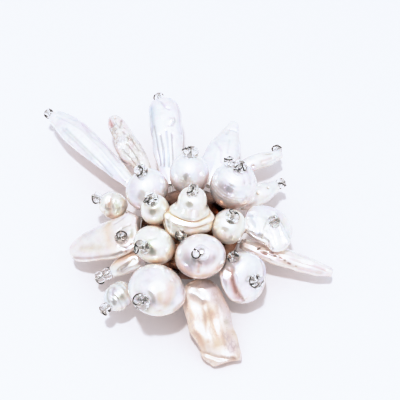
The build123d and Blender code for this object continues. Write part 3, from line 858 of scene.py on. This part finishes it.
    def store_shade_and_stains(self, skin, pearls):
        """Marks how close each point is to a neighbour or the sieve, from 0 to 1, for the painted shade
        between parts, and stores the marks' tints.
        """
        points = np.array([v.co[:] for v in skin.data.vertices]) / MM @ self.axes.T + self.centre
        close = np.zeros(len(points))
        for other in pearls:
            apart = np.linalg.norm(other.centre - self.centre)
            if other is self or apart > (self.length + other.length) / 2 + shade_limit:
                continue
            local = (points - other.centre) @ other.axes
            half = np.array([other.width, other.depth, other.length]) / 2
            gap = (np.linalg.norm(local / half, axis=1) - 1) * half.min()
            close = np.maximum(close, np.exp(-np.maximum(gap, 0) / shade_reach))
        out = np.linalg.norm(points[:, :2] - sieve_middle[:2], axis=1)
        gap = np.hypot(np.maximum(out - sieve_radius, 0), np.maximum(points[:, 2] - sieve_top, 0))
        close = np.maximum(close, np.exp(-gap / shade_reach))
        layer = skin.data.attributes.new("contact_shade", "FLOAT", "POINT")
        layer.data.foreach_set("value", close)
        colours = np.ones((len(points), 4))
        colours[:len(self.stain_and_shade), :3] = self.stain_and_shade
        layer = skin.data.attributes.new("stain_and_shade", "FLOAT_COLOR", "POINT")
        layer.data.foreach_set("color", colours.reshape(-1))

    def skin_and_normal(self, px, py):
        """The point of the skin under a place on the photograph, and its outward normal."""
        tree = self.tree()
        point = self.on_skin(tree, px, py)
        normal = np.array(tree.find_nearest(Vector(point))[1])
        return point, normal if normal @ (point - self.centre) > 0 else -normal

    def exit_point(self):
        """Where the stem comes out of the skin, at its outer end or through its face."""
        middle = middle_of("stem_" + self.name)
        if self.turned:
            hit = self.tree().ray_cast(Vector(middle + self.stem * far_out), Vector(-self.stem))[0]
            end = np.array(hit)
        else:
            end = self.world(self.local[-1]).mean(axis=0)
        return middle + self.stem * float((end - middle) @ self.stem)


# How far round its bead a stem's wire is bent back, where the photograph shows it
BENDS = {"pearl_round_front": 3.3, "pearl_round_right": 0.6, "pearl_heart": 2.6}
BEND_STEP = 2.0

# Beads that lie against a pearl's skin: the pearl, the place on the photograph,
# and the bead's radius; then how they sink, tilt and turn
SKIN_BEADS = (
    ("pearl_heart", (235, 259), 1.05),
    ("pearl_large_back_right", (229.5, 165.5), 1.0),
    ("pearl_crown_ringed", (180, 233), 1.0),
)
SKIN_BEAD_SEAT = 0.9
SKIN_BEAD_TILT = (0.9, -0.3, 0.2)
SKIN_BEAD_TURN = 1.3


def distance_to(points, line):
    """Distance of each point from a line of short runs, or from a single place."""
    if len(line) == 1:
        return np.linalg.norm(points - line[0], axis=1)
    best = np.full(len(points), 1e9)
    for a, b in zip(line[:-1], line[1:]):
        run = b - a
        t = np.clip((points - a) @ run / (run @ run), 0, 1)
        best = np.minimum(best, np.linalg.norm(points - a - t[:, None] * run, axis=1))
    return best


def frame_matrix(place, axis, spin=0.0):
    """Matrix that puts local Z along axis at a place in millimetres."""
    axis = Vector(axis).normalized()
    turn = axis.to_track_quat("Z", "Y").to_matrix().to_4x4()
    return Matrix.Translation(Vector(place) * MM) @ turn @ Matrix.Rotation(spin, 4, "Z")


def revolve(profile, sides):
    """Points and faces of a closed profile of (radius, height) turned around Z."""
    points = []
    for k in range(sides):
        a = 2 * math.pi * k / sides
        points += [(r * math.cos(a) * MM, r * math.sin(a) * MM, z * MM) for r, z in profile]
    m = len(profile)
    faces = [
        (k * m + i, (k + 1) % sides * m + i, (k + 1) % sides * m + (i + 1) % m, k * m + (i + 1) % m)
        for k in range(sides) for i in range(m)
    ]
    return points, faces


def new_object(name, points, faces, material, place):
    data = bpy.data.meshes.new(name)
    data.from_pydata(points, [], faces)
    data.shade_smooth()
    data.materials.append(material)
    obj = bpy.data.objects.new(name, data)
    obj.matrix_world = place
    bpy.context.scene.collection.objects.link(obj)
    return obj


def bead_object(name, bead_radius, place, axis, spin):
    """A short rounded glass tube."""
    mid = (bead_radius + bead_hole) / 2
    half = (bead_radius - bead_hole) / 2
    wide, tall = bead_fullness
    profile = []
    for i in range(bead_outline):
        a = 2 * math.pi * i / bead_outline
        c, s = math.cos(a), math.sin(a)
        profile.append((
            mid + half * math.copysign(abs(c) ** wide, c),
            bead_length / 2 * math.copysign(abs(s) ** tall, s),
        ))
    points, faces = revolve(profile, bead_sides)
    return new_object(name, points, faces, materials["glass"], frame_matrix(place, axis, spin))


def loop_object(name, bead_radius, place, axis, spin):
    """A turn of fine wire out of the bead's hole and back round its side."""
    out = bead_radius + loop_wire_radius + loop_room
    half = bead_length / 2 + loop_wire_radius + loop_lift
    path = []
    for i in range(loop_steps + 1):
        a = math.pi * i / loop_steps
        x = out * math.sin(a) ** loop_fullness
        twist = loop_twist * math.cos(a)
        path.append(Vector((x * math.cos(twist), x * math.sin(twist), half * math.cos(a))))
    points = []
    for i, p in enumerate(path):
        before, after = path[max(0, i - 1)], path[min(loop_steps, i + 1)]
        turn = (after - before).to_track_quat("Z", "Y")
        for k in range(loop_sides):
            a = 2 * math.pi * k / loop_sides
            side = Vector((loop_wire_radius * math.cos(a), loop_wire_radius * math.sin(a), 0))
            points.append((p + turn @ side) * MM)
    faces = grid_faces(loop_steps + 1, loop_sides)
    faces.append(tuple(range(loop_sides))[::-1])
    faces.append(tuple(loop_steps * loop_sides + k for k in range(loop_sides)))
    return new_object(name, points, faces, materials["wire"], frame_matrix(place, axis, spin))


def add_bead(bead_name, loop_name, radius, place, axis, spin):
    """A glass bead with its turn of wire."""
    bead = bead_object(bead_name, radius, place, axis, spin)
    loop = loop_object(loop_name, radius, place, axis, spin)
    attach(bead, "root")
    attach(loop, "root")


# Metals: name, light and dark tone, roughness, and depth of the scratches
METALS = {
    "wire": ("dark_wire", (0.06, 0.055, 0.05), (0.025, 0.022, 0.02), 0.16, 0.01),
    "stem": ("steel_wire", (0.6, 0.58, 0.56), (0.42, 0.4, 0.38), 0.25, 0.01),
    # The sieve's dark tone is near black: painted shade that keeps the gaps between the pearls dark
    "sieve": ("gilt_sieve_painted_dark", (0.3, 0.145, 0.095), (0.03, 0.012, 0.008), 0.18, 0.03),
    "pin": ("steel_pin", (0.8, 0.79, 0.78), (0.6, 0.59, 0.58), 0.3, 0.02),
}

make_camera()
materials = {"nacre_" + name: nacre(name) for name in NACRE}
materials["glass"] = glass()
for kind, row in METALS.items():
    materials[kind] = metal(*row)

pearls = [Pearl(name, row) for name, row in PEARLS.items()]
for pearl in pearls:
    pearl.build()
for pearl in pearls:
    name = pearl.name
    skin = pearl.mesh()
    pearl.store_shade_and_stains(skin, pearls)
    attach(skin, "root")
    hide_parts(name)
    start = pearl.exit_point()
    for number in range(pearl.beads):
        place = start + pearl.stem * (bead_length * (number + 0.5) + bead_gap)
        spin = BENDS.get(name, pearl.seed + number * BEND_STEP)
        label = f"{name}_{number + 1}"
        add_bead("bead_" + label, "loop_" + label, pearl.bead_radius, place, pearl.stem, spin)

for number, (name, place, radius) in enumerate(SKIN_BEADS):
    pearl = next(p for p in pearls if p.name == name)
    point, facing = pearl.skin_and_normal(*place)
    axis = (facing + np.array(SKIN_BEAD_TILT)) / 2
    middle = point + facing * radius * SKIN_BEAD_SEAT
    spin = number * SKIN_BEAD_TURN
    add_bead(f"skin_bead_{number + 1}", f"skin_loop_{number + 1}", radius, middle, axis, spin)

for node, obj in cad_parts.items():
    kind = "stem" if node.startswith("stem_") else "pin" if node == "pin_back" else "sieve"
    if node not in PEARLS:
        obj.data.materials.clear()
        obj.data.materials.append(materials[kind])


# The paper under the brooch, in metres: its half width and how far below it lies
floor_side = 1.2
floor_drop = 0.00002
PAPER = ((0.3, (0.885, 0.86, 0.875)), (0.7, (0.9, 0.875, 0.885)))


def make_floor():
    side = floor_side
    low = cad_box[0][2] - floor_drop
    corners = [(-side, -side, low), (side, -side, low), (side, side, low), (-side, side, low)]
    n = Nodes("paper")
    grain = n.noise((0.8, 0.8, 0.8), 4.0)
    n.surface(Base_Color=n.ramp(grain, PAPER), Roughness=0.55, Normal=n.bump(grain, 0.02, 0.2))
    floor = new_object("floor", corners, [(0, 1, 2, 3)], n.owner, Matrix.Identity(4))


# The key light: power, side in metres, distance in millimetres, where it comes
# from, and its colour
key_power = 1.6
key_side = 0.03
key_distance = 550.0
key_way = direction(-112, 80)
key_colour = (1.0, 0.975, 0.94)


def make_key():
    """Square soft light that looks at the brooch."""
    data = bpy.data.lights.new("key", "AREA")
    data.energy = key_power
    data.size = key_side
    data.color = key_colour
    light = bpy.data.objects.new("key", data)
    light.matrix_world = frame_matrix(target + key_way * key_distance, key_way)
    bpy.context.scene.collection.objects.link(light)


# The dark card: sides, radius in metres, distance in millimetres, where it stands,
# and its colour
card_sides = 32
card_radius = 0.075
card_distance = 190.0
card_way = direction(-112, 32)
card_colour = (0.03, 0.03, 0.035, 1)


def make_card():
    """Dark card around the camera that only reflections and the glass show."""
    turns = [2 * math.pi * k / card_sides for k in range(card_sides)]
    points = [(card_radius * math.cos(turn), card_radius * math.sin(turn), 0) for turn in turns]
    n = Nodes("dark_card")
    n.surface(Base_Color=card_colour, Roughness=0.9)
    place = frame_matrix(target + card_way * card_distance, card_way)
    card = new_object("dark_card", points, [tuple(range(card_sides))], n.owner, place)
    card.visible_camera = False
    card.visible_diffuse = False
    card.visible_shadow = False


# The studio's brightness from the horizon up to the soft box above, as surfaces,
# then reflections, then what is seen through glass, where black flags draw lines
WORLD_LIGHT = (
    (0.9, (
        (0.0, (0.66, 0.665, 0.7)),
        (0.9, (0.985, 1.0, 1.04)),
    )),
    (3.2, (
        (0.0, (0.24, 0.235, 0.235)),
        (0.45, (0.28, 0.275, 0.28)),
        (0.8, (0.34, 0.335, 0.34)),
        (0.88, (0.46, 0.46, 0.46)),
        (0.97, (1.0, 1.0, 1.0)),
    )),
    (1.25, (
        (0.0, (0.01, 0.01, 0.01)),
        (0.1, (0.03, 0.03, 0.03)),
        (0.22, (0.95, 0.96, 1.0)),
        (1.0, (1.0, 1.0, 1.0)),
    )),
)

# How far the soft box leans towards the front
box_lean = -0.09


def make_world():
    """Pale studio: an even wrap of light, in which reflections see a soft box above."""
    n = Nodes("studio", "World")
    split = n.add("SeparateXYZ", Vector=n.add("TexCoord").outputs["Generated"])
    reach = n.join("Math", split.outputs["Y"], box_lean, split.outputs["Z"], operation="MULTIPLY_ADD")
    lights = []
    for strength, stops in WORLD_LIGHT:
        light = n.add("Background", Color=n.ramp(reach, stops), Strength=strength)
        lights.append(light.outputs["Background"])
    path = n.add("LightPath")
    seen, *others = lights
    for kind, light in zip(("Is Glossy Ray", "Is Transmission Ray"), others):
        seen = n.join("MixShader", path.outputs[kind], seen, light)
    n.put(seen, n.output.inputs["Surface"])
    bpy.context.scene.world = n.owner


# How light becomes tone in red, green and blue: straight up to mid greys, then a
# shoulder that keeps the paper and the highlights a little below white
BRIGHTEST = 2.5
TONES = (
    ((0.3, 0.3), (0.55, 0.555), (0.8, 0.755), (0.95, 0.845), (1.15, 0.92), (1.35, 0.946), (1.65, 0.96)),
    ((0.3, 0.3), (0.55, 0.545), (0.8, 0.78), (0.95, 0.875), (1.13, 0.945), (1.35, 0.962), (1.65, 0.974)),
    ((0.3, 0.3), (0.55, 0.55), (0.8, 0.82), (0.95, 0.92), (1.1, 0.972), (1.35, 0.984), (1.65, 0.99)),
)


def set_tones():
    view = bpy.context.scene.view_settings
    view.view_transform = "Standard"
    view.exposure = 0.0
    view.use_curve_mapping = True
    mapping = view.curve_mapping
    mapping.white_level = (BRIGHTEST, BRIGHTEST, BRIGHTEST)
    for channel, stops in enumerate(TONES):
        for light, tone in stops:
            mapping.curves[channel].points.new(light / BRIGHTEST, tone)
    mapping.update()


make_floor()
make_card()
make_world()
make_key()
set_tones()
